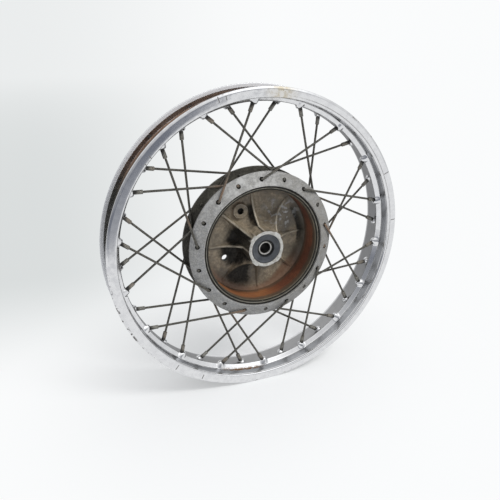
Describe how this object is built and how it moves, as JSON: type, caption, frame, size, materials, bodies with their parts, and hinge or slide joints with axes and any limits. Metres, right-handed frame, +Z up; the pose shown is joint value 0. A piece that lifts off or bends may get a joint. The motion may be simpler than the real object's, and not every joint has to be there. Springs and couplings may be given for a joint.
{
  "type": "spoked motorcycle wheel",
  "caption": "Motorcycle wheel without a tyre: chromed drop-centre rim laced with bent spokes to a cast drum-brake hub that turns on ball bearings.",
  "frame": {"origin": "centre of the hub, on the axle line midway between the two boss faces", "axes": "+Y along the axle from the open brake drum to the sprocket side, +Z up, +X to the right for someone who looks into the drum"},
  "size_m": [0.485, 0.0712, 0.485],
  "materials": {
    "rim_chrome": "aged chrome plate",
    "spoke_steel": "dull zinc",
    "hub_alloy": "oxidised casting",
    "liner_iron": "rusty",
    "bearing_steel": "ground",
    "seal_rubber": "matt"
  },
  "bodies": {
    "axle_set": {"axle_collar_brake": "bearing_steel", "axle_collar_sprocket": "bearing_steel", "bearing_inner_ring_brake": "bearing_steel", "bearing_inner_ring_sprocket": "bearing_steel", "distance_tube": "bearing_steel"},
    "wheel": {"rim": "rim_chrome", "hub_shell": "hub_alloy", "brake_drum_liner": "liner_iron", "bearing_outer_ring_brake": "bearing_steel", "bearing_outer_ring_sprocket": "bearing_steel", "oil_seal_brake": "seal_rubber", "oil_seal_sprocket": "seal_rubber", "spoke_01": "spoke_steel", "spoke_02": "spoke_steel", "spoke_03": "spoke_steel", "spoke_04": "spoke_steel", "spoke_05": "spoke_steel", "spoke_06": "spoke_steel", "spoke_07": "spoke_steel", "spoke_08": "spoke_steel", "spoke_09": "spoke_steel", "spoke_10": "spoke_steel", "spoke_11": "spoke_steel", "spoke_12": "spoke_steel", "spoke_13": "spoke_steel", "spoke_14": "spoke_steel", "spoke_15": "spoke_steel", "spoke_16": "spoke_steel", "spoke_17": "spoke_steel", "spoke_18": "spoke_steel", "spoke_19": "spoke_steel", "spoke_20": "spoke_steel", "spoke_21": "spoke_steel", "spoke_22": "spoke_steel", "spoke_23": "spoke_steel", "spoke_24": "spoke_steel", "spoke_25": "spoke_steel", "spoke_26": "spoke_steel", "spoke_27": "spoke_steel", "spoke_28": "spoke_steel", "spoke_29": "spoke_steel", "spoke_30": "spoke_steel", "spoke_31": "spoke_steel", "spoke_32": "spoke_steel", "spoke_33": "spoke_steel", "spoke_34": "spoke_steel", "spoke_35": "spoke_steel", "spoke_36": "spoke_steel"},
    "ball_cage_brake": {"bearing_balls_brake": "bearing_steel"},
    "ball_cage_sprocket": {"bearing_balls_sprocket": "bearing_steel"}
  },
  "joints": [
    {"name": "wheel_spin", "type": "hinge", "parent": "axle_set", "child": "wheel", "pos_m": [0, 0, 0], "axis": [0, 1, 0], "continuous": true},
    {"name": "balls_roll_brake", "type": "hinge", "parent": "axle_set", "child": "ball_cage_brake", "pos_m": [0, -0.0213, 0], "axis": [0, 1, 0], "continuous": true},
    {"name": "balls_roll_sprocket", "type": "hinge", "parent": "axle_set", "child": "ball_cage_sprocket", "pos_m": [0, 0.0213, 0], "axis": [0, 1, 0], "continuous": true}
  ],
  "couplings": [
    {"joint": "balls_roll_brake", "follows": "wheel_spin", "ratio": 0.6359},
    {"joint": "balls_roll_sprocket", "follows": "wheel_spin", "ratio": 0.6359}
  ]
}
